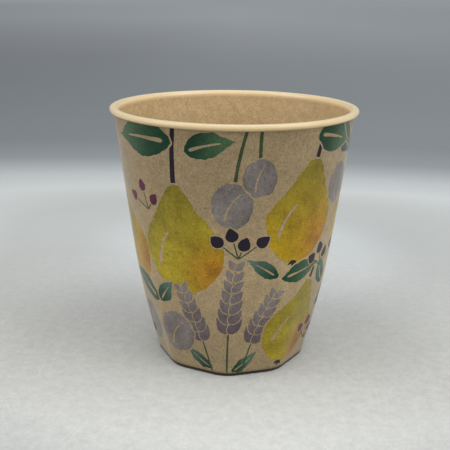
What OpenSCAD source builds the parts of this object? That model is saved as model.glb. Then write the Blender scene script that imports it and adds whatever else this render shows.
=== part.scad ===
// Rice husk cup: a round-rimmed tumbler that narrows to a nine-sided foot.
// The body is moulded in one piece, and a printed decor foil lies flush in its outer wall.
// Millimetres, +Z up, origin on the table at the middle of the foot, a foot corner towards -Y.

/* [Rim] */
// Outer diameter of the rounded lip
rim_d = 90; // [80:1:110]
// Height from the table to the top of the lip
cup_h = 95; // [80:0.5:115]
// Height of the rounded lip
lip_h = 1.8; // [1.6:0.1:3]
// How far the lip stands out past the wall under it
lip_overhang = 1.4; // [0.8:0.1:2]
// How far the lip stands in past the wall, inside the cup
lip_inset = 0.1; // [0.1:0.1:0.6]
// Radius of the hollow fillet under the lip
lip_fillet_r = 0.3; // [0.2:0.1:0.8]

/* [Wall] */
// Diameter that the round wall would have if it ran straight down to the table
cone_foot_d = 63.9; // [58:0.1:66]
// Thickness of the moulded wall, with the foil
wall_t = 1.7; // [1.4:0.1:3]
// Thickness of the floor
floor_t = 2.5; // [2:0.1:5]
// Size of the round bevel between the floor and the wall inside
floor_bevel = 4; // [1:0.5:8]

/* [Foot] */
// Number of flats round the foot
flat_count = 9; // [6:1:12]
// Diameter of the circle that the flats touch, at the table
foot_d = 53.9; // [46:0.1:56]
// Height at which the flats run out into the round wall
flat_h = 39.5; // [25:0.5:60]
// Bevel of the bottom edge
foot_bevel = 0.5; // [0.3:0.1:1.5]
// Diameter of the hollow under the foot
hollow_d = 42; // [30:1:44]
// Depth of the hollow under the foot
hollow_h = 1.2; // [0.5:0.1:2]

/* [Decor foil] */
// Thickness of the printed foil
foil_t = 0.2; // [0.1:0.05:0.4]
// Bare margin between the foil and the bottom bevel, and between the foil and the lip fillet
foil_margin = 0.1; // [0.1:0.1:1]
// Width of the seam where the ends of the foil meet, at the back
foil_seam = 0.2; // [0.1:0.1:0.6]

/* [Hidden] */
$fn = 180;

// Clearance that a cutting shape reaches past what it cuts
over = 1;

// Heights of the lip's underside and of its widest ring
lip_r = lip_h / 2;
lip_z = cup_h - lip_h;
lip_mid_z = cup_h - lip_r;

// Round wall: a cone that is rim_d less the overhang across under the lip
cone_foot_r = cone_foot_d / 2;
cone_top_r = rim_d / 2 - lip_overhang;
cone_slope = (cone_top_r - cone_foot_r) / lip_z;
function cone_r(z, inset) = cone_foot_r + cone_slope * z - inset * sqrt(1 + pow(cone_slope, 2));

// Flats: planes that lean out more than the cone and meet it at flat_h
flat_step = 360 / flat_count;
flat_slope = (cone_r(flat_h, 0) - foot_d / 2) / flat_h;
flat_lean = atan(flat_slope);
function flat_a(z, inset) = foot_d / 2 + flat_slope * z - inset * sqrt(1 + pow(flat_slope, 2));

// Centres of the lip's two round ends, and of the fillet that touches the outer one and the wall
lip_in_r = cone_r(lip_mid_z, wall_t) - lip_inset + lip_r;
lip_out_r = rim_d / 2 - lip_r;
lip_fillet_x = cone_r(lip_z - lip_fillet_r, 0) + lip_fillet_r;
lip_fillet_z = lip_mid_z - sqrt(pow(lip_r + lip_fillet_r, 2) - pow(lip_out_r - lip_fillet_x, 2));

floor_z = hollow_h + floor_t;
floor_r = flat_a(floor_z + floor_bevel, wall_t) - floor_bevel;
foil_low_z = foot_bevel + foil_margin;
foil_high_z = lip_fillet_z - foil_margin;

// A cut leaves what lies inside a plane that passes apothem at height z and leans out by lean degrees
module flat_cuts(apothem, z, lean) {
  size = rim_d + cup_h;
  for (i = [0 : flat_count - 1])
    rotate([0, 0, (i + 0.5) * flat_step - 90])
      translate([apothem, 0, z])
        rotate([0, lean, 0])
          translate([0, -size / 2, -size / 2])
            cube(size);
}

// The cup's form from height low to high, moved inwards by inset, with a bevelled bottom edge
module form(inset, low, high, bevel = 0) {
  difference() {
    translate([0, 0, low])
      rotate([0, 0, -90])
        cylinder(h = high - low, r1 = cone_r(low, inset), r2 = cone_r(high, inset));
    flat_cuts(flat_a(0, inset), 0, flat_lean);
    if (bevel > 0)
      flat_cuts(flat_a(low + bevel, inset), low + bevel, 45);
  }
}

// The lip: a bar with round ends, and the hollow fillet that joins its outer end to the wall
module lip() {
  rotate_extrude() {
    translate([lip_in_r, lip_mid_z])
      circle(lip_r);
    translate([lip_out_r, lip_mid_z])
      circle(lip_r);
    translate([lip_in_r, lip_z])
      square([lip_out_r - lip_in_r, lip_h]);
    difference() {
      polygon([
        [lip_in_r, lip_fillet_z],
        [lip_fillet_x, lip_fillet_z],
        [lip_out_r, lip_mid_z],
        [lip_in_r, lip_mid_z]
      ]);
      translate([lip_fillet_x, lip_fillet_z])
        circle(lip_fillet_r);
    }
  }
}

// The hollow inside, with a round bevel between the floor and the wall
module inside() {
  h = lip_mid_z + over - floor_z;
  intersection() {
    form(wall_t, floor_z, floor_z + h);
    translate([0, 0, floor_z])
      rotate([0, 0, -90])
        cylinder(h = h, r1 = floor_r, r2 = floor_r + h);
  }
}

// The shell under the lip: the foot band, the wall behind the foil and the rim band, round one hollow inside
module shell() {
  difference() {
    union() {
      form(0, 0, foil_low_z, foot_bevel);
      form(foil_t, foot_bevel, lip_z);
      form(0, foil_high_z, lip_mid_z);
    }
    inside();
    translate([0, 0, -over])
      cylinder(h = hollow_h + over, d = hollow_d);
  }
}

// Moulded body: shell and lip in one piece, with room for the foil to lie flush
module cup_body() {
  color([0.80, 0.70, 0.54]) {
    shell();
    lip();
  }
}

// Printed foil: one sheet round the wall, its ends butted at the back
module decor_foil() {
  color([0.60, 0.54, 0.43])
    difference() {
      form(0, foil_low_z, foil_high_z);
      form(foil_t, foil_low_z - over, foil_high_z + over);
      translate([-foil_seam / 2, 0, -over])
        cube([foil_seam, rim_d, cup_h + over]);
    }
}

cup_body();
decor_foil();
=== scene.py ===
"""Looks of a rice husk cup: moulded body, printed foil, stage, light and camera."""

import math
from math import cos, hypot, pi, radians, sin, sqrt

import bpy
import numpy as np
from mathutils import Matrix, Vector, noise
from mathutils.geometry import delaunay_2d_cdt


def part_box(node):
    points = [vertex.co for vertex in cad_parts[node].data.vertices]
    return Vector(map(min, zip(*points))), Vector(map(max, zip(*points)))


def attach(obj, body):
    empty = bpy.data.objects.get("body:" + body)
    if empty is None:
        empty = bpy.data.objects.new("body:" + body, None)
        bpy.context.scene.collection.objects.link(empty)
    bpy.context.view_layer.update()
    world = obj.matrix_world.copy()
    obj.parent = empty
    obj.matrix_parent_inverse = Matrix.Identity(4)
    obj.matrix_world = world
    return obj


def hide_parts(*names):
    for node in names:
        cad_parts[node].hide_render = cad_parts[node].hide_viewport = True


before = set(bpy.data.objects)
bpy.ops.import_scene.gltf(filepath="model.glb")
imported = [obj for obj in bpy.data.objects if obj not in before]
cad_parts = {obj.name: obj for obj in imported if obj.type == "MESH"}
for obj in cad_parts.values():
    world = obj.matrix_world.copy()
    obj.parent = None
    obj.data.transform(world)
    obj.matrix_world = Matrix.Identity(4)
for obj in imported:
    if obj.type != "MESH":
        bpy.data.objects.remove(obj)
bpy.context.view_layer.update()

# Sizes in millimetres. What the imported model's boxes give is taken from them.
MM = 0.001
body_low, body_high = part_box("cup_body")
foil_low, foil_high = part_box("decor_foil")
RIM_R = min(body_high.x - body_low.x, body_high.y - body_low.y) / 2 / MM
CUP_H = body_high.z / MM
FOIL_LOW_Z = foil_low.z / MM
FOIL_HIGH_Z = foil_high.z / MM
LIP_H = 1.8
LIP_OVERHANG = 1.4
LIP_FILLET_R = 0.3
CONE_FOOT_R = 31.95
WALL_T = 1.7
FLOOR_T = 2.5
FLOOR_FILLET_R = 5.0
FLAT_COUNT = 9
FOOT_D = 53.9
FLAT_H = 39.5
FOOT_BEVEL = 0.5
HOLLOW_R = 21.0
HOLLOW_H = 1.2
HOLLOW_EDGE_R = 0.4
FOIL_T = 0.2
FOIL_SEAM = 0.2

# How far the lip's inner edge is rounded over, inwards and down
LIP_ROUND_IN = 1.1
LIP_ROUND_DOWN = 1.8

# How widely the moulded edges are softened, between two flats and where a flat meets the round wall
EDGE_SOFT = 3.0
RUNOUT_SOFT = 2.5

# How far the flats swell at the foot, where the edges between them are rounded back
FLAT_SWELL = 0.5

# Worked-out sizes
LIP_R = LIP_H / 2
LIP_Z = CUP_H - LIP_H
LIP_MID_Z = CUP_H - LIP_R
CONE_SLOPE = (RIM_R - LIP_OVERHANG - CONE_FOOT_R) / LIP_Z
CONE_LEAN = math.atan(CONE_SLOPE)
FLAT_FOOT_R = FOOT_D / 2 + FLAT_SWELL
FLAT_SLOPE = (CONE_FOOT_R + CONE_SLOPE * FLAT_H - FLAT_FOOT_R) / FLAT_H
FLAT_STEP = 2 * pi / FLAT_COUNT
FLOOR_Z = HOLLOW_H + FLOOR_T


# The cup's form

def cone_r(z):
    """Radius of the round wall at height z."""
    return CONE_FOOT_R + CONE_SLOPE * z


def smooth_min(a, b, soft):
    """The lesser of a and b, with the corner between them rounded over the width soft."""
    near = np.clip(1 - np.abs(a - b) / soft, 0, 1)
    return np.minimum(a, b) - soft * near * near / 4


def form_r(angle, z, inset=0.0):
    """Radius of the form at an angle from the front and a height, moved inwards by inset."""
    cone = cone_r(z) - inset / cos(CONE_LEAN)
    apothem = FLAT_FOOT_R + FLAT_SLOPE * z - inset * sqrt(1 + FLAT_SLOPE ** 2)
    past_edge = np.mod(angle, FLAT_STEP)
    left = apothem / np.cos(past_edge - FLAT_STEP / 2)
    before = apothem / np.cos(past_edge + FLAT_STEP / 2)
    after = apothem / np.cos(past_edge - 1.5 * FLAT_STEP)
    flats = smooth_min(left, np.minimum(before, after), EDGE_SOFT)
    return smooth_min(cone, flats, RUNOUT_SOFT)


def place(angle, r, z):
    """Points in metres at angles from the front, positive to the right, radii and heights."""
    return np.stack([r * np.sin(angle), -r * np.cos(angle), z], axis=-1) * MM


# Mesh helpers

def make_piece(name, points, faces, material, replaced):
    """A mesh piece that stands for a node and rides on the cup."""
    mesh = bpy.data.meshes.new(name)
    mesh.from_pydata(points, [], faces)
    mesh.polygons.foreach_set("use_smooth", [True] * len(mesh.polygons))
    mesh.materials.append(material)
    mesh.update()
    piece = bpy.data.objects.new(name, mesh)
    bpy.context.scene.collection.objects.link(piece)
    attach(piece, "root")
    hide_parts(replaced)
    return piece


def arc(centre_r, centre_z, radius, start, end, steps):
    """Points on a circle in the cup's section, from one angle in degrees to another."""
    turns = [radians(start + (end - start) * i / steps) for i in range(steps + 1)]
    return [(centre_r + radius * cos(t), centre_z + radius * sin(t)) for t in turns]


# Materials

def srgb(red, green, blue):
    """A linear colour from display values of 0 to 255."""
    def linear(value):
        part = value / 255
        return part / 12.92 if part <= 0.04045 else ((part + 0.055) / 1.055) ** 2.4
    return (linear(red), linear(green), linear(blue))


# Numbers of a mix node's sockets for colours, because those for other data share their names
MIX_INPUTS = (0, 6, 7)
MIX_OUTPUT = 2


class Nodes:
    """A material's node tree, with short calls to add and link nodes."""

    def __init__(self, name):
        self.material = bpy.data.materials.new(name)
        self.material.use_nodes = True
        self.tree = self.material.node_tree
        self.shader = self.tree.nodes["Principled BSDF"]

    def add(self, kind, **settings):
        made = self.tree.nodes.new(kind)
        for key, value in settings.items():
            setattr(made, key, value)
        return made

    def link(self, source, target):
        self.tree.links.new(source, target)

    def noise(self, coordinates, scale, detail=3.0, roughness=0.55):
        made = self.add("ShaderNodeTexNoise")
        made.inputs["Scale"].default_value = scale
        made.inputs["Detail"].default_value = detail
        made.inputs["Roughness"].default_value = roughness
        self.link(coordinates, made.inputs["Vector"])
        return made.outputs["Fac"]

    def ramp(self, factor, stops):
        """A colour ramp with (position, grey value or colour) stops."""
        made = self.add("ShaderNodeValToRGB")
        elements = made.color_ramp.elements
        while len(elements) < len(stops):
            elements.new(1.0)
        for element, (position, value) in zip(elements, stops):
            element.position = position
            rgb = (value,) * 3 if isinstance(value, float) else value
            element.color = (*rgb, 1.0)
        self.link(factor, made.inputs["Fac"])
        return made.outputs["Color"]

    def span(self, value, low, high):
        """The share of the way that a value lies from low to high, held between 0 and 1."""
        made = self.add("ShaderNodeMapRange")
        made.inputs["From Min"].default_value = low
        made.inputs["From Max"].default_value = high
        self.link(value, made.inputs["Value"])
        return made.outputs["Result"]

    def span_mm(self, value, low, high):
        """The share of the way that a length lies between two lengths in millimetres."""
        return self.span(value, low * MM, high * MM)

    def maths(self, operation, first, second):
        """A sum, product or the like of a socket and a socket or number."""
        made = self.add("ShaderNodeMath", operation=operation)
        self.link(first, made.inputs[0])
        if isinstance(second, float):
            made.inputs[1].default_value = second
        else:
            self.link(second, made.inputs[1])
        return made.outputs["Value"]

    def height(self, coordinates):
        """The Z part of a place or a direction."""
        made = self.add("ShaderNodeSeparateXYZ")
        self.link(coordinates, made.inputs["Vector"])
        return made.outputs["Z"]

    def radius(self, coordinates):
        """The distance of a place from the cup's axis."""
        flat = self.add("ShaderNodeVectorMath", operation="MULTIPLY")
        flat.inputs[1].default_value = (1.0, 1.0, 0.0)
        self.link(coordinates, flat.inputs[0])
        made = self.add("ShaderNodeVectorMath", operation="LENGTH")
        self.link(flat.outputs["Vector"], made.inputs[0])
        return made.outputs["Value"]

    def blend(self, mode, factor, first, second):
        """Blends two colours; a factor or colour is a number, a tuple or a socket."""
        made = self.add("ShaderNodeMix", data_type="RGBA", blend_type=mode)
        for number, value in zip(MIX_INPUTS, (factor, first, second)):
            socket = made.inputs[number]
            if isinstance(value, bpy.types.NodeSocket):
                self.link(value, socket)
            elif isinstance(value, float):
                socket.default_value = value
            else:
                socket.default_value = (*value, 1.0)
        return made.outputs[MIX_OUTPUT]

    def bump(self, height, strength, distance):
        made = self.add("ShaderNodeBump")
        made.inputs["Strength"].default_value = strength
        made.inputs["Distance"].default_value = distance
        self.link(height, made.inputs["Height"])
        self.link(made.outputs["Normal"], self.shader.inputs["Normal"])


HUSK_PALE = srgb(188, 162, 119)
HUSK_DARK = srgb(158, 127, 85)
# The lip's tones are paler than the husk, partly a paler rim and partly painted highlight; the side's tone
# is painted paler than the top's, as painted light where the side gets less light
LIP_TOP_PALE_AND_HIGHLIGHT = srgb(208, 190, 152)
LIP_SIDE_PALE_AND_PAINTED_LIGHT = srgb(242, 212, 161)
# Painted shade for the foot's edge, a near black brown that stands in for the shadow line under the cup
FOOT_PAINTED_SHADE = srgb(44, 36, 26)

# Fineness of the clouds and of the grain, per metre
HUSK_CLOUD = 300.0
HUSK_GRAIN = 1300.0
PRINT_CLOUD = 420.0
PRINT_GRAIN = 1500.0

# Where the lip's pale tone, partly a paler rim and partly painted highlight, starts and is full, as heights
# inside and outside the cup
LIP_PALE_INSIDE = (CUP_H - 2.5, CUP_H - 1.2)
LIP_PALE_OUTSIDE = (CUP_H - 2.8, CUP_H - 1.6)

# Where the painted light of the lip's side, paler than the top, starts and is full, as heights and as radii
LIP_SIDE_Z = (CUP_H - 0.35, CUP_H - 0.8)
LIP_SIDE_R = (RIM_R - 1.8, RIM_R - 1.0)

# Where the painted shade along the foot's edge starts and is full: heights on the body and the foil, and the
# normal's Z
BODY_SHADE_Z = (0.75, 0.55)
BODY_SHADE_NORMAL = (-0.97, -0.8)
FOIL_SHADE_Z = (2.6, 0.9)


def husk_material():
    """Pressed rice husk: a mottled tan, glossier on the lip and paler there, partly as painted highlight,
    with painted shade at the foot's edge.
    """
    n = Nodes("husk_composite")
    place_of = n.add("ShaderNodeTexCoord").outputs["Object"]
    height = n.height(place_of)
    cloud = n.noise(place_of, HUSK_CLOUD)
    grain = n.noise(place_of, HUSK_GRAIN, detail=4.0, roughness=0.7)
    colour = n.blend("MIX", n.ramp(cloud, [(0.35, 0.0), (0.65, 0.4)]), HUSK_PALE, HUSK_DARK)
    colour = n.blend("MULTIPLY", 1.0, colour, n.ramp(grain, [(0.3, 0.75), (0.7, 1.25)]))
    # Painted light on the lip: a paler tone that is partly painted highlight, and a side painted paler than
    # the top
    outer = n.span_mm(n.radius(place_of), *LIP_SIDE_R)
    lip = n.blend("MIX", outer, n.span_mm(height, *LIP_PALE_INSIDE), n.span_mm(height, *LIP_PALE_OUTSIDE))
    side = n.maths("MULTIPLY", n.ramp(outer, [(0.0, 0.7), (1.0, 1.0)]), n.span_mm(height, *LIP_SIDE_Z))
    lip_pale_and_painted_light = n.blend("MIX", side, LIP_TOP_PALE_AND_HIGHLIGHT, LIP_SIDE_PALE_AND_PAINTED_LIGHT)
    colour = n.blend("MIX", n.ramp(lip, [(0.0, 0.0), (1.0, 0.9)]), colour, lip_pale_and_painted_light)
    # Painted shade at the foot's edge: dark where the surface is low and faces down
    down = n.height(n.add("ShaderNodeNewGeometry").outputs["Normal"])
    foot = n.maths("MULTIPLY", n.span_mm(height, *BODY_SHADE_Z), n.span(down, *BODY_SHADE_NORMAL))
    colour = n.blend("MIX", foot, colour, FOOT_PAINTED_SHADE)
    n.link(colour, n.shader.inputs["Base Color"])
    n.link(n.ramp(lip, [(0.0, 0.46), (1.0, 0.25)]), n.shader.inputs["Roughness"])
    n.shader.inputs["Specular IOR Level"].default_value = 0.55
    n.bump(grain, 0.10, 0.0002)
    return n.material


def foil_material():
    """Printed foil: inks from the mesh's own colours over a fine grain, with painted shade along its lower
    edge.
    """
    n = Nodes("printed_foil")
    place_of = n.add("ShaderNodeTexCoord").outputs["Object"]
    ink = n.add("ShaderNodeVertexColor", layer_name="ink")
    grain = n.noise(place_of, PRINT_GRAIN, detail=4.0, roughness=0.75)
    cloud = n.noise(place_of, PRINT_CLOUD)
    colour = n.blend("MULTIPLY", 1.0, ink.outputs["Color"], n.ramp(grain, [(0.3, 0.65), (0.7, 1.33)]))
    colour = n.blend("MULTIPLY", 1.0, colour, n.ramp(cloud, [(0.3, 0.9), (0.7, 1.1)]))
    # Painted shade along the foil's lower edge, next to the foot
    edge = n.span_mm(n.height(place_of), *FOIL_SHADE_Z)
    edge = n.ramp(edge, [(0.0, 0.0), (0.55, 0.15), (0.7, 0.5), (0.82, 1.0)])
    colour = n.blend("MIX", edge, colour, FOOT_PAINTED_SHADE)
    n.link(colour, n.shader.inputs["Base Color"])
    n.link(n.ramp(grain, [(0.3, 0.38), (0.7, 0.50)]), n.shader.inputs["Roughness"])
    n.shader.inputs["Specular IOR Level"].default_value = 0.16
    n.shader.inputs["Sheen Weight"].default_value = 0.3
    n.shader.inputs["Sheen Roughness"].default_value = 0.35
    n.bump(grain, 0.08, 0.0002)
    return n.material


# Moulded body

BODY_COLUMNS = 432
WALL_RINGS = 48
HOLLOW_STEPS = 4
FOOT_STEPS = 5
LIP_STEPS = 16
LIP_FILLET_STEPS = 5
LIP_ROUND_STEPS = 12
FLOOR_STEPS = 10

# Edges that turn by more than this many degrees stay sharp
SHARP_ANGLE = 50


def body_rings(angle):
    """Rings of the body from the middle of its underside, over the lip, to the middle of its floor."""
    rings = []

    def add(r, z):
        rings.append((np.broadcast_to(r, angle.shape), np.broadcast_to(z, angle.shape)))

    edge_r = HOLLOW_EDGE_R
    for share in (0.25, 0.5, 0.75):
        add((HOLLOW_R - edge_r) * share, HOLLOW_H)
    for r, z in arc(HOLLOW_R - edge_r, HOLLOW_H - edge_r, edge_r, 90, 0, HOLLOW_STEPS):
        add(r, z)
    for r, z in arc(HOLLOW_R + edge_r, edge_r, edge_r, 180, 270, HOLLOW_STEPS):
        add(r, z)
    foot_r = form_r(angle, FOOT_BEVEL) - FOOT_BEVEL
    for share in (0.33, 0.67):
        add(HOLLOW_R + edge_r + (foot_r - HOLLOW_R - edge_r) * share, 0.0)
    for step in range(FOOT_STEPS + 1):
        turn = pi / 2 * step / FOOT_STEPS
        add(foot_r + FOOT_BEVEL * sin(turn), FOOT_BEVEL * (1 - cos(turn)))
    add(form_r(angle, FOIL_LOW_Z), FOIL_LOW_Z)
    for step in range(WALL_RINGS + 1):
        z = FOIL_LOW_Z + (FOIL_HIGH_Z - FOIL_LOW_Z) * step / WALL_RINGS
        add(form_r(angle, z, FOIL_T), z)
    add(form_r(angle, FOIL_HIGH_Z), FOIL_HIGH_Z)
    add_lip(add)
    inner_top = CUP_H - LIP_ROUND_DOWN
    inner_low = FLOOR_Z + FLOOR_FILLET_R
    for step in range(WALL_RINGS + 1):
        z = inner_top + (inner_low - inner_top) * step / WALL_RINGS
        add(form_r(angle, z, WALL_T), z)
    inner_r = form_r(angle, inner_low, WALL_T) - FLOOR_FILLET_R
    for step in range(1, FLOOR_STEPS + 1):
        turn = pi / 2 * step / FLOOR_STEPS
        add(inner_r + FLOOR_FILLET_R * cos(turn), inner_low - FLOOR_FILLET_R * sin(turn))
    for share in (0.75, 0.5, 0.25):
        add(inner_r * share, FLOOR_Z)
    return rings


def add_lip(add):
    """Rings of the hollow fillet under the lip and of the lip's round section."""
    in_r = cone_r(CUP_H - LIP_ROUND_DOWN) - WALL_T / cos(CONE_LEAN)
    out_r = RIM_R - LIP_R
    fillet_r = cone_r(LIP_Z - LIP_FILLET_R) + LIP_FILLET_R
    fillet_z = LIP_MID_Z - sqrt((LIP_R + LIP_FILLET_R) ** 2 - (out_r - fillet_r) ** 2)
    towards = math.degrees(math.atan2(LIP_MID_Z - fillet_z, out_r - fillet_r))
    for r, z in arc(fillet_r, fillet_z, LIP_FILLET_R, 180, towards, LIP_FILLET_STEPS)[:-1]:
        add(r, z)
    for r, z in arc(out_r, LIP_MID_Z, LIP_R, towards - 180, 90, LIP_STEPS):
        add(r, z)
    for step in range(LIP_ROUND_STEPS):
        turn = pi / 2 * step / LIP_ROUND_STEPS
        add(in_r + LIP_ROUND_IN * (1 - sin(turn)), CUP_H - LIP_ROUND_DOWN * (1 - cos(turn)))


def make_body():
    """The moulded body: rings joined by quads, closed at the middle of its underside and of its floor."""
    angle = np.arange(BODY_COLUMNS) * 2 * pi / BODY_COLUMNS
    rings = body_rings(angle)
    points = [place(angle, r, z) for r, z in rings]
    points = np.concatenate(points + [np.array([[0, 0, HOLLOW_H * MM], [0, 0, FLOOR_Z * MM]])])
    under_pole = len(rings) * BODY_COLUMNS
    faces = []
    for column in range(BODY_COLUMNS):
        after = (column + 1) % BODY_COLUMNS
        for ring in range(len(rings) - 1):
            low = ring * BODY_COLUMNS
            high = low + BODY_COLUMNS
            faces.append((low + column, low + after, high + after, high + column))
        last = (len(rings) - 1) * BODY_COLUMNS
        faces.append((under_pole, after, column))
        faces.append((under_pole + 1, last + column, last + after))
    husk = husk_material()
    piece = make_piece("cup_body_shell", points.tolist(), faces, husk, "cup_body")
    piece.data.set_sharp_from_angle(angle=radians(SHARP_ANGLE))


# Printed design: shapes drawn flat in millimetres, x to the right and y up, standing on the origin

def bend(points, curvature):
    """Bends a shape along an arc that leans to the right."""
    if abs(curvature) < 1e-6:
        return points
    bent = []
    for x, y in points:
        turn = curvature * y
        bent.append(((1 - cos(turn)) / curvature + x * cos(turn), sin(turn) / curvature - x * sin(turn)))
    return bent


def turned(points, degrees):
    """Turns points clockwise about the origin."""
    t = radians(degrees)
    return [(x * cos(t) + y * sin(t), y * cos(t) - x * sin(t)) for x, y in points]


def moved(points, by):
    return [(x + by[0], y + by[1]) for x, y in points]


def outline(half_width, length, step=0.5):
    """A closed shape along y with the half width that a function of the share of its length gives."""
    count = max(8, int(length / step))
    shares = [0.5 - 0.5 * cos(pi * i / count) for i in range(count + 1)]
    right = [(half_width(t), t * length) for t in shares]
    left = [(-x, y) for x, y in reversed(right[1:-1])]
    return right + left


def stroke(length, width, curvature=0.0, end_share=0.4):
    """A brush stroke that thins towards its end."""
    def half(t):
        return width / 2 * (1 - (1 - end_share) * t) * min(1.0, 12 * t + 0.3, 12 * (1 - t) + 0.3)
    return bend(outline(half, length, 0.8), curvature)


def leaf(length, width, curvature):
    def half(t):
        return width / 2 * sin(pi * t ** 0.78) ** (0.8 + 0.6 * t)
    return bend(outline(half, length), curvature)


def pear(length, width):
    def half(t):
        neck = min(1.0, max(0.0, (t - 0.36) / 0.55))
        ease = neck * neck * (3 - 2 * neck)
        return width / 2 * sqrt(max(0.0, 1 - (2 * t - 1) ** 2)) * (1.06 - 0.52 * ease)
    return outline(half, length)


def round_fruit(length, width):
    def half(t):
        return width / 2 * sqrt(max(0.0, 1 - (2 * t - 1) ** 2))
    return outline(half, length, 0.4)


def bud(length, width):
    def half(t):
        return width / 2 * sin(pi * t ** 0.75) ** 0.8
    return outline(half, length, 0.4)


def normals(points):
    """Outward normals of a shape that runs anticlockwise."""
    made = []
    for i, (x, y) in enumerate(points):
        before = points[i - 1]
        after = points[(i + 1) % len(points)]
        dx, dy = after[0] - before[0], after[1] - before[1]
        size = hypot(dx, dy) or 1.0
        made.append((dy / size, -dx / size))
    return made


def grown(points, by):
    """A shape moved outwards all round."""
    return [(x + nx * by, y + ny * by) for (x, y), (nx, ny) in zip(points, normals(points))]


def deckled(points, rough, seed):
    """A shape with the uneven edge of a brush or a cut block."""
    made = []
    for (x, y), (nx, ny) in zip(points, normals(points)):
        broad = noise.noise(Vector((x * 0.33, y * 0.33, seed)))
        fine = noise.noise(Vector((x * 1.1, y * 1.1, seed + 40)))
        by = rough * (broad + 0.6 * fine)
        made.append((x + nx * by, y + ny * by))
    return made


# Inks

GROUND = srgb(155, 135, 102)
LEAF_DEEP = srgb(19, 58, 38)
LEAF_MID = srgb(72, 98, 68)
LEAF_GREY = srgb(86, 110, 96)
STEM_GREEN = srgb(58, 76, 46)
PEAR_GOLD = srgb(161, 130, 16)
PEAR_LEMON = srgb(156, 138, 32)
PEAR_OLIVE = srgb(130, 116, 36)
PEAR_BLUSH = srgb(153, 105, 26)
PLUM_LILAC = srgb(120, 112, 107)
PLUM_DEEP = srgb(80, 65, 75)
NAVY = srgb(33, 27, 39)
BERRY = srgb(86, 31, 53)


class Ink:
    """A wash that goes from one colour to another along a direction, with a blush round one spot."""

    def __init__(self, first, second=None, along=90.0, span=20.0, blush=None, spot=(0.0, 0.0), reach=1.0):
        self.first = np.array(first)
        self.second = np.array(first if second is None else second)
        self.along = (cos(radians(along)), sin(radians(along)))
        self.span = span
        self.blush = None if blush is None else np.array(blush)
        self.spot = spot
        self.reach = reach

    def colour(self, x, y):
        share = min(1.0, max(0.0, (x * self.along[0] + y * self.along[1]) / self.span))
        made = self.first + (self.second - self.first) * share * share * (3 - 2 * share)
        if self.blush is not None:
            near = max(0.0, 1 - hypot(x - self.spot[0], y - self.spot[1]) / self.reach)
            made = made + (self.blush - made) * near * near * (3 - 2 * near)
        return made


# Width of the bare ground round a shape
GAP = 0.65
BERRY_GAP = 0.4
PETAL_GAP = 0.35


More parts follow.
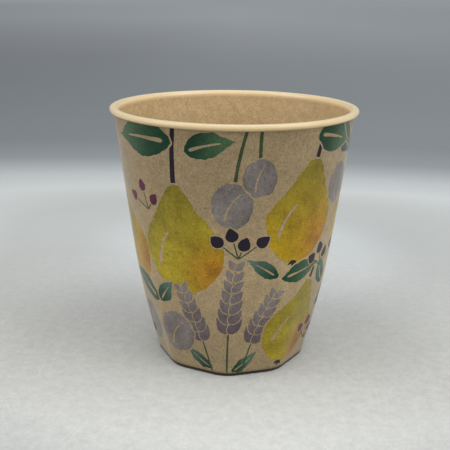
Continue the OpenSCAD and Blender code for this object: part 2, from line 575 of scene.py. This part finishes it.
class Design:
    """The shapes of the print, each with its ink and its place on the wall, later shapes on top."""

    def __init__(self):
        self.shapes = []
        self.panel = 0.0

    def draw(self, points, ink, spot, turn=0.0, rough=0.0, gap=0.0):
        """Adds a shape at a spot, turned clockwise, with bare ground round it if it has a gap.

        A shape with no ink is bare ground itself.
        """
        x, z = spot
        angle = self.panel + x / cone_r(z)
        shape = deckled(points, rough, 3.7 * len(self.shapes)) if rough else points
        if gap:
            self.shapes.append((turned(grown(shape, gap), turn), None, angle, z, turn))
        self.shapes.append((turned(shape, turn), ink, angle, z, turn))

    def leaf(self, spot, turn, length, width, curvature=0.01, second=LEAF_MID):
        ink = Ink(LEAF_DEEP, second, along=70, span=0.95 * length)
        self.draw(leaf(length, width, curvature), ink, spot, turn, rough=0.6, gap=GAP)
        rib = moved(stroke(0.62 * length, 0.13 * width, 0.0, 0.3), (0.0, 0.1 * length))
        self.draw(bend(rib, curvature), None, spot, turn, rough=0.15)

    def stem(self, spot, turn, length, width=0.8, curvature=0.0, colour=STEM_GREEN):
        self.draw(stroke(length, width, curvature), Ink(colour), spot, turn, rough=0.06)

    def pear(self, spot, turn, length, stalk=5.0, skin=PEAR_GOLD):
        width = 0.76 * length
        ink = Ink(skin, PEAR_OLIVE, along=110, span=1.05 * length, blush=PEAR_BLUSH,
                  spot=(0.4 * width, 0.22 * length), reach=0.45 * length)
        twig = stroke(stalk + 0.08 * length, 1.9, 0.008, 0.8)
        self.draw(moved(twig, (0.0, 0.92 * length)), Ink(NAVY), spot, turn, rough=0.1)
        self.draw(pear(length, width), ink, spot, turn, rough=0.65, gap=GAP)
        shine = bend(stroke(0.36 * length, 1.5, 0.0, 0.5), 0.05)
        self.draw(moved(shine, (-0.3 * width, 0.24 * length)), None, spot, turn, rough=0.2)
        for step in range(11):
            across = 0.3 * width * sin(2.4 * step + 0.5)
            up = length * (0.16 + 0.045 * step)
            self.draw(moved(round_fruit(0.9, 0.9), (across, up)), Ink(PEAR_BLUSH), spot, turn)
        for lean in (-50, 0, 50):
            self.draw(moved(turned(bud(2.6, 1.2), 180 + lean), (0.0, 0.6)), Ink(NAVY), spot, turn)

    def plum(self, spot, turn, length, stalk=0.0):
        width = 0.88 * length
        ink = Ink(PLUM_LILAC, PLUM_DEEP, along=-25, span=0.62 * width)
        if stalk:
            twig = stroke(stalk + 0.08 * length, 1.2, 0.01, 0.8)
            self.draw(moved(twig, (0.0, 0.92 * length)), Ink(STEM_GREEN), spot, turn, rough=0.08)
        self.draw(round_fruit(length, width), ink, spot, turn, rough=0.6, gap=GAP)
        crease = bend(stroke(0.78 * length, 0.9, 0.0, 0.3), 0.07)
        self.draw(moved(crease, (-0.14 * width, 0.14 * length)), None, spot, turn, rough=0.1)

    def lavender(self, spot, turn, length, curvature, whorls=6):
        self.stem(spot, turn, length, 0.8, curvature)
        for step in range(whorls):
            along = length * (0.4 + 0.56 * step / (whorls - 1))
            size = 1.25 - 0.5 * step / (whorls - 1)
            ink = Ink(PLUM_DEEP, PLUM_LILAC, along=90, span=1.2 * length)
            for side in (-1, 1):
                petal = moved(turned(bud(6.2 * size, 3.4 * size), 36 * side), (0.0, along))
                self.draw(bend(petal, curvature), ink, spot, turn, rough=0.2, gap=PETAL_GAP)

    def cluster(self, spot, turn, colour, size, count):
        """A spray of berries on short stalks."""
        for step in range(count):
            lean = -52 + 104 * step / (count - 1)
            reach = 6.0 + 2.6 * sin(2.2 * step + 0.6)
            stalk = turned(stroke(reach, 0.55, 0.0, 0.8), lean)
            self.draw(stalk, Ink(STEM_GREEN), spot, turn)
            fruit = turned(moved(bud(1.15 * size, 0.95 * size), (0.0, reach - 0.4)), lean)
            self.draw(fruit, Ink(colour), spot, turn, rough=0.25, gap=BERRY_GAP)


def draw_panel(d):
    """One half turn of the print, about its own middle."""
    d.stem((-47, 2), 3, 54, 1.1, -0.005)
    d.stem((47, 2), -5, 50, 1.1, 0.008)
    d.leaf((-47, 20), -44, 24, 9, 0.02, LEAF_GREY)
    d.leaf((-48, 36), 46, 18, 7, -0.02, LEAF_GREY)
    d.leaf((-50, 58), -38, 26, 10, 0.02)
    d.leaf((45, 22), 44, 22, 8, -0.02)
    d.leaf((46, 32), -40, 15, 6, 0.02, LEAF_GREY)
    d.pear((55, 44), 12, 34)
    d.leaf((56, 82), -52, 20, 9, 0.01, LEAF_GREY)
    d.leaf((56, 82), 70, 22, 9, 0.01)
    d.pear((-38, 32), -16, 35)
    d.pear((-14, 34), -2, 40, 24, PEAR_LEMON)
    d.plum((2, 60), 6, 16, 24)
    d.plum((12, 71), -3, 13, 14)
    d.leaf((-18, 88), -84, 28, 13, -0.012)
    d.leaf((-13, 85.5), 68, 18, 9, 0.02)
    d.pear((25, 46), 8, 37, 16)
    d.leaf((33, 90.5), 96, 21, 11, 0.014)
    d.plum((48, 64), -10, 15)
    d.leaf((21, 40), 76, 19, 7.5, 0.014)
    d.leaf((19, 41), -52, 14, 5.5, -0.014, LEAF_GREY)
    d.leaf((-5, 3), -62, 14, 5, 0.02, LEAF_GREY)
    d.leaf((3, 2), 58, 13, 5, -0.02, LEAF_GREY)
    d.lavender((-5, 1), -12, 36, -0.004, 6)
    d.lavender((1, 1), 0, 46, 0.003, 7)
    d.lavender((7, 1), 10, 35, 0.008, 6)
    d.pear((23, 4), 16, 34, skin=PEAR_LEMON)
    d.leaf((-27, 28), -66, 22, 9, -0.01)
    d.leaf((-26, 28), 34, 12, 6, 0.014, LEAF_GREY)
    d.plum((-36, 7), -12, 16)
    d.plum((-20, 8), 6, 17)
    d.cluster((5, 49), 2, NAVY, 4.6, 4)
    d.cluster((42, 40), -6, NAVY, 4.2, 4)
    d.cluster((-45, 2), -20, BERRY, 4.0, 4)
    d.cluster((41, 8), 10, BERRY, 4.0, 4)
    d.cluster((-29, 63), -16, BERRY, 4.0, 3)


# Foil

# Radius at which the sheet is laid flat, and spacing of the points on its front and on its back
SHEET_R = 37.0
GRID_STEP = 0.9
BACK_STEP = 3.0

# Points of the print that lie closer than this are one
MERGE_DISTANCE = 1e-5

# Flat layout for baking: margin and width of all, height of the back's band and of the cut edges' band
LAYOUT_MARGIN = 0.01
LAYOUT_WIDTH = 0.98
LAYOUT_BACK = (0.5, 0.7)
LAYOUT_EDGES = (0.8, 0.82)

# Unevenness of a wash: how often it changes per millimetre and how strongly, broadly and finely
WASH_BROAD = (0.16, 0.28)
WASH_FINE = (0.55, 0.12)
GROUND_WASH = 0.3
WASH_RIM = 0.9

# The print's tone with painted light: how much paler it is painted round the middle of the wall, and where
# that is
PRINT_LIGHT_BASE = 0.97
PRINT_LIGHT_LIFT = 0.24
PRINT_LIGHT_Z = 44.0
PRINT_LIGHT_REACH = 21.0


def to_sheet(x, y, angle, z):
    """Angle and height on the wall of a flat point, when the cone is unrolled round a place."""
    lean = sin(CONE_LEAN)
    apex = cone_r(z) / lean
    across = math.atan2(x, apex + y) / lean
    return angle + across, (hypot(x, apex + y) * lean - CONE_FOOT_R) / CONE_SLOPE


def from_sheet(angle, z, place_angle, place_z):
    """The flat point, seen from a place on the wall, of an angle and height."""
    lean = sin(CONE_LEAN)
    apex = cone_r(place_z) / lean
    slant = cone_r(z) / lean
    across = (angle - place_angle) * lean
    return slant * sin(across), slant * cos(across) - apex


def sheet_shapes(seam):
    """Every shape of the print as a polygon on the sheet, with copies where it crosses the seam."""
    design = Design()
    for panel in (0.0, pi):
        design.panel = panel
        draw_panel(design)
    made = []
    for points, ink, angle, z, turn in design.shapes:
        for lap in (-2 * pi, 0.0, 2 * pi):
            mapped = [to_sheet(x, y, angle + lap, z) for x, y in points]
            if max(a for a, _ in mapped) > -seam and min(a for a, _ in mapped) < seam:
                made.append((mapped, ink, angle + lap, z, turn))
    return made


def sheet_grid(seam, step):
    """Border of the sheet, anticlockwise, and staggered points inside it."""
    across = int(2 * seam * SHEET_R / step)
    upward = int((FOIL_HIGH_Z - FOIL_LOW_Z) / step)
    xs = [-seam + 2 * seam * i / across for i in range(across + 1)]
    zs = [FOIL_LOW_Z + (FOIL_HIGH_Z - FOIL_LOW_Z) * i / upward for i in range(upward + 1)]
    border = [(a, zs[0]) for a in xs] + [(xs[-1], z) for z in zs[1:]]
    border += [(a, zs[-1]) for a in reversed(xs[:-1])] + [(xs[0], z) for z in reversed(zs[1:-1])]
    half = (xs[1] - xs[0]) / 2
    inside = [(a + half * (row % 2), z) for row, z in enumerate(zs[1:-1]) for a in xs[1:-2]]
    return border, inside


class Sheet:
    """One face of the foil: its triangles, and the angles and heights of their points."""

    def __init__(self, loops, inside):
        """Cuts the first loop into triangles, each with the number of the last loop that covers it."""
        points = []
        faces = []
        for loop in loops:
            faces.append(list(range(len(points), len(points) + len(loop))))
            points.extend(Vector((a * SHEET_R, z)) for a, z in loop)
        points.extend(Vector((a * SHEET_R, z)) for a, z in inside)
        made, _, triangles, _, _, covers = delaunay_2d_cdt(points, [], faces, 0, MERGE_DISTANCE, True)
        kept = [(t, max(c)) for t, c in zip(triangles, covers) if 0 in c]
        used = sorted({v for t, _ in kept for v in t})
        index = {v: i for i, v in enumerate(used)}
        self.angle = np.array([made[v].x for v in used]) / SHEET_R
        self.z = np.array([made[v].y for v in used])
        self.triangles = [tuple(index[v] for v in t) for t, _ in kept]
        self.tops = [top for _, top in kept]

    def points(self, inset=0.0):
        """Places of the points on the wall, moved inwards by inset."""
        return place(self.angle, form_r(self.angle, self.z, inset), self.z)

    def corners(self, flipped=False):
        """Numbers of the triangles' points, one after another, for a face that is flipped or not."""
        order = [0, 2, 1] if flipped else [0, 1, 2]
        return np.array(self.triangles)[:, order].ravel()

    def border(self):
        """The border as one loop of points, which runs as the triangles do."""
        edges = {(t[i], t[(i + 1) % 3]) for t in self.triangles for i in range(3)}
        after = {a: b for a, b in edges if (b, a) not in edges}
        loop = [min(after)]
        while after[loop[-1]] != loop[0]:
            loop.append(after[loop[-1]])
        return loop


def wall_normals(angle, z):
    """Outward directions of the wall, from its slope round and up."""
    h = 1e-3
    r = form_r(angle, z)
    round_slope = (form_r(angle + h, z) - form_r(angle - h, z)) / (2 * h) / r
    up_slope = (form_r(angle, z + h) - form_r(angle, z - h)) / (2 * h)
    out = np.stack([np.sin(angle), -np.cos(angle), np.zeros_like(angle)], axis=-1)
    along = np.stack([np.cos(angle), np.sin(angle), np.zeros_like(angle)], axis=-1)
    made = out - along * round_slope[:, None]
    made[:, 2] = -up_slope
    return made / np.linalg.norm(made, axis=1)[:, None]


def make_foil():
    """The printed foil: a finely cut front, a coarse back and the cut edges between them."""
    seam = pi - FOIL_SEAM / 2 / SHEET_R
    shapes = sheet_shapes(seam)
    border, inside = sheet_grid(seam, GRID_STEP)
    front = Sheet([border] + [s[0] for s in shapes], inside)
    loop = front.border()
    back = Sheet([[(front.angle[v], front.z[v]) for v in loop]], sheet_grid(seam, BACK_STEP)[1])
    back_loop = opposite_loop(front, back, loop[0])
    count = len(front.angle)
    points = np.concatenate([front.points(), back.points(FOIL_T)])
    faces = front.triangles + (back.corners(flipped=True) + count).reshape(-1, 3).tolist()
    for i, v in enumerate(loop):
        j = (i + 1) % len(loop)
        faces.append((loop[j], v, back_loop[i] + count, back_loop[j] + count))
    print_look = foil_material()
    piece = make_piece("decor_foil_sheet", points.tolist(), faces, print_look, "decor_foil")
    paint_foil(piece.data, front, shapes)
    shade_foil(piece.data, front, back)
    unroll_foil(piece.data, front, back, seam)


def opposite_loop(front, back, first):
    """The back's border, from the point that lies behind the front's point with the number first."""
    loop = back.border()

    def off(i):
        return hypot(back.angle[loop[i]] - front.angle[first], back.z[loop[i]] - front.z[first])

    start = min(range(len(loop)), key=off)
    return loop[start:] + loop[:start]


def shade_foil(mesh, front, back):
    """Gives both faces the normals of the wall, and the cut edges their own."""
    outwards = wall_normals(front.angle, front.z)[front.corners()]
    inwards = -wall_normals(back.angle, back.z)[back.corners(flipped=True)]
    cut_faces = mesh.polygons[len(front.triangles) + len(back.triangles):]
    edges = [tuple(face.normal) for face in cut_faces for _ in face.loop_indices]
    mesh.normals_split_custom_set(np.concatenate([outwards, inwards, np.array(edges)]).tolist())


def unroll_foil(mesh, front, back, seam):
    """Lays the sheet out flat for baking: print at the bottom, then the back, then the cut edges."""
    tall = (FOIL_HIGH_Z - FOIL_LOW_Z) / (2 * seam * SHEET_R)

    def flat(sheet, low, high):
        share = (sheet.z - FOIL_LOW_Z) / (FOIL_HIGH_Z - FOIL_LOW_Z)
        across = LAYOUT_MARGIN + LAYOUT_WIDTH * (sheet.angle + seam) / (2 * seam)
        return np.stack([across, low + (high - low) * share], axis=-1)

    printed = flat(front, LAYOUT_MARGIN, LAYOUT_MARGIN + LAYOUT_WIDTH * tall)[front.corners()]
    hidden = flat(back, *LAYOUT_BACK)[back.corners(flipped=True)]
    edge_count = len(mesh.polygons) - len(front.triangles) - len(back.triangles)
    left = LAYOUT_MARGIN + LAYOUT_WIDTH * np.arange(edge_count) / edge_count
    right = left + LAYOUT_WIDTH / edge_count
    low, high = (np.full(edge_count, level) for level in LAYOUT_EDGES)
    strip = np.stack([right, high, left, high, left, low, right, low], axis=-1).reshape(-1, 2)
    layer = mesh.uv_layers.new(name="OFBake")
    layer.data.foreach_set("uv", np.concatenate([printed, hidden, strip]).ravel())


def wash_tone(x, y, z):
    """Uneven strength of a hand-laid wash, about 1."""
    broad = noise.noise(Vector((x, y, z)) * WASH_BROAD[0])
    fine = noise.noise(Vector((x, y, z)) * WASH_FINE[0] + Vector((7.0, 3.0, 1.0)))
    return 1 + WASH_BROAD[1] * broad + WASH_FINE[1] * fine


def painted_light_tone(z):
    """Tone of the print at a height, with painted light that makes it paler round the middle of the wall."""
    return PRINT_LIGHT_BASE + PRINT_LIGHT_LIFT * math.exp(-((z - PRINT_LIGHT_Z) / PRINT_LIGHT_REACH) ** 2)


def corner_colour(shapes, top, angle, z, on_rim):
    """Colour of the print at a point under the shape with a number; 0 is bare ground."""
    r = cone_r(z)
    spot = (r * sin(angle), r * cos(angle), z)
    ink = shapes[top - 1][1] if top > 0 else None
    if ink is None:
        # Ground and inks both carry the painted light that is paler round the middle of the wall
        return np.array(GROUND) * (1 + GROUND_WASH * (wash_tone(*spot) - 1)) * painted_light_tone(z)
    _, _, place_angle, place_z, turn = shapes[top - 1]
    x, y = turned([from_sheet(angle, z, place_angle, place_z)], -turn)[0]
    return ink.colour(x, y) * wash_tone(*spot) * painted_light_tone(z) * (WASH_RIM if on_rim else 1.0)


def paint_foil(mesh, front, shapes):
    """Gives each corner of the printed face the colour of its ink, darker along the rim of a wash."""
    tops_at = [set() for _ in front.angle]
    for triangle, top in zip(front.triangles, front.tops):
        for v in triangle:
            tops_at[v].add(top)
    colours = np.empty((len(mesh.loops), 4))
    colours[:] = (*GROUND, 1.0)
    known = {}
    corner = 0
    for triangle, top in zip(front.triangles, front.tops):
        for v in triangle:
            if (v, top) not in known:
                on_rim = len(tops_at[v]) > 1
                known[(v, top)] = corner_colour(shapes, top, front.angle[v], front.z[v], on_rim)
            colours[corner, :3] = known[(v, top)]
            corner += 1
    layer = mesh.color_attributes.new("ink", "FLOAT_COLOR", "CORNER")
    layer.data.foreach_set("color", colours.ravel())


# Stage

FLOOR_REACH = 60.0
FAR_GREY = srgb(184, 188, 191)
# Painted shade with a warm tint on the floor in front of the cup
FRONT_SHADE_TINT = (0.9, 0.87, 0.845)
WORLD_GLOW = srgb(238, 240, 243)
WORLD_STRENGTH = 0.7

# Greys of the floor by ring, which paint its light and shade round the cup and further back: shares of the
# way between two powers of ten of the distance in metres
RING_POWERS = (-1.2, 0.8)
RING_GREYS = (
    (0.0, srgb(190, 194, 194)),
    (0.085, srgb(180, 183, 182)),
    (0.15, srgb(179, 182, 180)),
    (0.19, srgb(187, 190, 189)),
    (0.215, srgb(194, 198, 197)),
    (0.265, srgb(182, 186, 187)),
    (0.325, srgb(145, 150, 153)),
    (0.385, srgb(136, 141, 144)),
    (0.51, srgb(146, 151, 154)),
    (0.744, srgb(170, 174, 177)),
    (0.98, FAR_GREY),
)

# Where the rings start and end to flatten, behind the cup
RING_TURN_Y = (0.1, 0.26)

# Where the painted light that makes the floor lighter from left to right lies, where that starts, and where
# all turns to the far grey
SLOPE_X = (-0.42, 0.38)
SLOPE_AWAY = (0.15, 0.5)
GREY_AWAY = (1.5, 4.5)

# Wear of the floor, with painted shade in front of the cup: where it starts to fade and is faint, the
# mottle's fineness per metre, and the scratches
WEAR_Y = (-0.02, 0.14)
MOTTLE_GRAIN = 260.0
SCRATCH_GRAIN = 900.0
SCRATCH_STRETCH = 26.0
SCRATCH_SHIFT = 0.01
SCRATCH_TURNS = (-14, 6, 30)

# Painted glow of the far floor, in bands of painted light and shade: tones across, by the way aside over the
# way back, and its start and end
GLOW_START = 0.26
GLOW_ASIDE = (-1.2, 1.05)
GLOW_TONES = ((0.0, 1.0), (0.333, 0.85), (0.5, 1.03), (0.667, 0.91), (1.0, 1.0))
GLOW_POWERS = (-0.2, 1.6)
GLOW_FADE = ((0.0, 0.0), (0.3, 1.0), (0.66, 1.0), (0.82, 0.0))
GLOW_Y = (0.3, 0.9)

# Soft patches of painted light and shade on the floor, the first lightening the cup's shadow round the foot:
# place, where each starts and ends to fade, and its factor
FLOOR_PATCHES = (
    ((0.0, -0.03, 0.0), 0.02, 0.08, 1.26),
    ((0.12, 0.02, 0.0), 0.01, 0.07, 1.16),
    ((0.08, 0.14, 0.0), 0.0, 0.06, 0.9),
    ((-0.09, 0.06, 0.0), 0.0, 0.04, 1.08),
)


def scratches(n, place_of, turn):
    """Faint pale lines on the floor that run away from the viewer, turned by some degrees."""
    stretched = n.add("ShaderNodeMapping", vector_type="TEXTURE")
    stretched.inputs["Location"].default_value = (SCRATCH_SHIFT * turn, 0.0, 0.0)
    stretched.inputs["Rotation"].default_value = (0.0, 0.0, radians(turn))
    stretched.inputs["Scale"].default_value = (1.0, SCRATCH_STRETCH, 1.0)
    n.link(place_of, stretched.inputs["Vector"])
    lines = n.noise(stretched.outputs["Vector"], SCRATCH_GRAIN, detail=2.0)
    return n.ramp(lines, [(0.64, 1.0), (0.74, 1.07)])


def floor_patch(n, place_of, spot, low, high, lift):
    """A soft patch of the floor, painted lighter or darker by a factor as painted light and shade, full up
    to low and gone at high.
    """
    near = n.add("ShaderNodeVectorMath", operation="DISTANCE")
    near.inputs[1].default_value = spot
    n.link(place_of, near.inputs[0])
    return n.ramp(n.span(near.outputs["Value"], low, high), [(0.0, lift), (1.0, 1.0)])


def ring_power(n, parts):
    """Power of ten of the distance from a spot behind the cup, in rings that flatten further back."""
    beyond = n.span(parts.outputs["Y"], *RING_TURN_Y)
    across = n.maths("MULTIPLY", parts.outputs["X"], n.ramp(beyond, [(0.0, 1.0), (1.0, 0.5)]))
    along = n.maths("ADD", parts.outputs["Y"], -RING_TURN_Y[0])
    along = n.maths("MULTIPLY", along, n.ramp(beyond, [(0.0, 1.0), (1.0, 1.15)]))
    squeezed = n.add("ShaderNodeCombineXYZ")
    n.link(across, squeezed.inputs["X"])
    n.link(along, squeezed.inputs["Y"])
    ring = n.add("ShaderNodeVectorMath", operation="LENGTH")
    n.link(squeezed.outputs["Vector"], ring.inputs[0])
    return n.maths("LOGARITHM", ring.outputs["Value"], 10.0)


def worn_and_shaded_floor(n, place_of, parts, colour):
    """Mottle, scratches and a warm painted shade, which show in front of the cup and fade behind it."""
    mottle = n.noise(place_of, MOTTLE_GRAIN, detail=7.0, roughness=0.85)
    worn_and_shaded = n.blend("MULTIPLY", 1.0, colour, n.ramp(mottle, [(0.3, 0.86), (0.7, 1.14)]))
    worn_and_shaded = n.blend("MULTIPLY", 1.0, worn_and_shaded, FRONT_SHADE_TINT)
    for turn in SCRATCH_TURNS:
        worn_and_shaded = n.blend("MULTIPLY", 1.0, worn_and_shaded, scratches(n, place_of, turn))
    behind = n.ramp(n.span(parts.outputs["Y"], *WEAR_Y), [(0.0, 0.0), (1.0, 0.8)])
    return n.blend("MIX", behind, worn_and_shaded, colour)


def far_glow(n, parts, power, colour):
    """A faint painted glow, light and shade in bands, in the middle of the far floor, behind the cup alone
    and gone at the horizon.
    """
    aside = n.maths("DIVIDE", parts.outputs["X"], n.maths("ADD", parts.outputs["Y"], GLOW_START))
    glow = n.ramp(n.span(aside, *GLOW_ASIDE), GLOW_TONES)
    distance = n.ramp(n.span(power, *GLOW_POWERS), GLOW_FADE)
    reach = n.maths("MULTIPLY", distance, n.span(parts.outputs["Y"], *GLOW_Y))
    return n.blend("MULTIPLY", reach, colour, glow)


def floor_material():
    """Pale floor in soft rings of painted light and shade, which turns grey with distance and has painted
    light close round the foot.
    """
    n = Nodes("stage_floor")
    place_of = n.add("ShaderNodeNewGeometry").outputs["Position"]
    parts = n.add("ShaderNodeSeparateXYZ")
    n.link(place_of, parts.inputs["Vector"])
    power = ring_power(n, parts)
    away = n.radius(place_of)
    colour = n.ramp(n.span(power, *RING_POWERS), RING_GREYS)
    for spot, low, high, lift in FLOOR_PATCHES:
        colour = n.blend("MULTIPLY", 1.0, colour, floor_patch(n, place_of, spot, low, high, lift))
    slope = n.ramp(n.span(parts.outputs["X"], *SLOPE_X), [(0.0, 0.9), (1.0, 1.1)])
    colour = n.blend("MULTIPLY", n.span(away, *SLOPE_AWAY), colour, slope)
    colour = worn_and_shaded_floor(n, place_of, parts, colour)
    colour = n.blend("MIX", n.span(away, *GREY_AWAY), colour, FAR_GREY)
    n.link(far_glow(n, parts, power, colour), n.shader.inputs["Base Color"])
    n.shader.inputs["Roughness"].default_value = 0.6
    n.shader.inputs["Specular IOR Level"].default_value = 0.0
    return n.material


def make_stage():
    """A wide flat floor."""
    size = FLOOR_REACH
    corners = [(-size, -size, 0), (size, -size, 0), (size, size, 0), (-size, size, 0)]
    mesh = bpy.data.meshes.new("stage_floor")
    mesh.from_pydata(corners, [], [(0, 1, 2, 3)])
    mesh.materials.append(floor_material())
    floor = bpy.data.objects.new("stage_floor", mesh)
    bpy.context.scene.collection.objects.link(floor)


def make_world():
    """An even glow all round, which the camera, reflections and glass see as the far floor's grey."""
    world = bpy.data.worlds.new("studio")
    bpy.context.scene.world = world
    world.use_nodes = True
    tree = world.node_tree
    glow = tree.nodes["Background"]
    glow.inputs["Color"].default_value = (*WORLD_GLOW, 1.0)
    glow.inputs["Strength"].default_value = WORLD_STRENGTH
    seen = tree.nodes.new("ShaderNodeBackground")
    seen.inputs["Color"].default_value = (*(a * b for a, b in zip(WORLD_GLOW, FAR_GREY)), 1.0)
    seen.inputs["Strength"].default_value = WORLD_STRENGTH
    path = tree.nodes.new("ShaderNodeLightPath")
    either = path.outputs["Is Camera Ray"]
    for kind in ("Is Glossy Ray", "Is Transmission Ray"):
        larger = tree.nodes.new("ShaderNodeMath")
        larger.operation = "MAXIMUM"
        tree.links.new(either, larger.inputs[0])
        tree.links.new(path.outputs[kind], larger.inputs[1])
        either = larger.outputs["Value"]
    mix = tree.nodes.new("ShaderNodeMixShader")
    tree.links.new(either, mix.inputs[0])
    tree.links.new(glow.outputs[0], mix.inputs[1])
    tree.links.new(seen.outputs[0], mix.inputs[2])
    tree.links.new(mix.outputs[0], tree.nodes["World Output"].inputs["Surface"])


# Lamps: place and diameter in metres, power in watts
OVERHEAD_PLACE = Vector((0.06, -0.03, 0.55))
OVERHEAD_SIZE = 0.7
OVERHEAD_POWER = 1.9
SIDE_PLACE = Vector((0.54, -0.27, 0.42))
SIDE_SIZE = 0.5
SIDE_POWER = 1.65


def make_lamp(name, where, size, energy):
    """A broad soft lamp that points at the middle of the cup."""
    lamp = bpy.data.lights.new(name, "AREA")
    lamp.shape = "DISK"
    lamp.size = size
    lamp.energy = energy
    piece = bpy.data.objects.new(name, lamp)
    piece.location = where
    aim = Vector((0.0, 0.0, CUP_H / 2 * MM)) - piece.location
    piece.rotation_euler = aim.to_track_quat("-Z", "Y").to_euler()
    bpy.context.scene.collection.objects.link(piece)


def make_lights():
    """One lamp overhead and one on either side."""
    make_lamp("overhead", OVERHEAD_PLACE, OVERHEAD_SIZE, OVERHEAD_POWER)
    for side in (-1, 1):
        mirror = Matrix.Diagonal((side, 1, 1))
        make_lamp("side", mirror @ SIDE_PLACE, SIDE_SIZE, SIDE_POWER)


# Camera, as in the photograph: millimetres, degrees, and the focal length in pixels of the frame
CAMERA_DISTANCE = 266.38
CAMERA_HEIGHT = 132.5
CAMERA_TURN = 4.275
CAMERA_PITCH = 17.389
CAMERA_YAW = 0.61
CAMERA_ROLL = -0.657
CAMERA_FOCAL = 729.0
FRAME_PIXELS = 450.0
SENSOR_WIDTH = 36.0


def make_camera():
    """The camera, turned round the cup, pitched down and rolled as in the photograph."""
    lens = bpy.data.cameras.new("camera")
    lens.sensor_width = SENSOR_WIDTH
    lens.lens = CAMERA_FOCAL / FRAME_PIXELS * SENSOR_WIDTH
    camera = bpy.data.objects.new("camera", lens)
    turn = radians(CAMERA_TURN)
    yaw = turn + radians(CAMERA_YAW)
    pitch = radians(CAMERA_PITCH)
    roll = radians(CAMERA_ROLL)
    right = Vector((cos(yaw), sin(yaw), 0))
    ahead = Vector((-sin(yaw) * cos(pitch), cos(yaw) * cos(pitch), -sin(pitch)))
    up = right.cross(ahead)
    rolled_right = right * cos(roll) - up * sin(roll)
    rolled_up = right * sin(roll) + up * cos(roll)
    facing = Matrix((rolled_right, rolled_up, -ahead)).transposed()
    where = Vector((sin(turn), -cos(turn), 0)) * CAMERA_DISTANCE + Vector((0, 0, CAMERA_HEIGHT))
    camera.matrix_world = Matrix.Translation(where * MM) @ facing.to_4x4()
    bpy.context.scene.collection.objects.link(camera)
    bpy.context.scene.camera = camera


make_body()
make_foil()
make_stage()
make_world()
make_lights()
make_camera()
bpy.context.scene.view_settings.view_transform = "Standard"

bpy.context.view_layer.update()
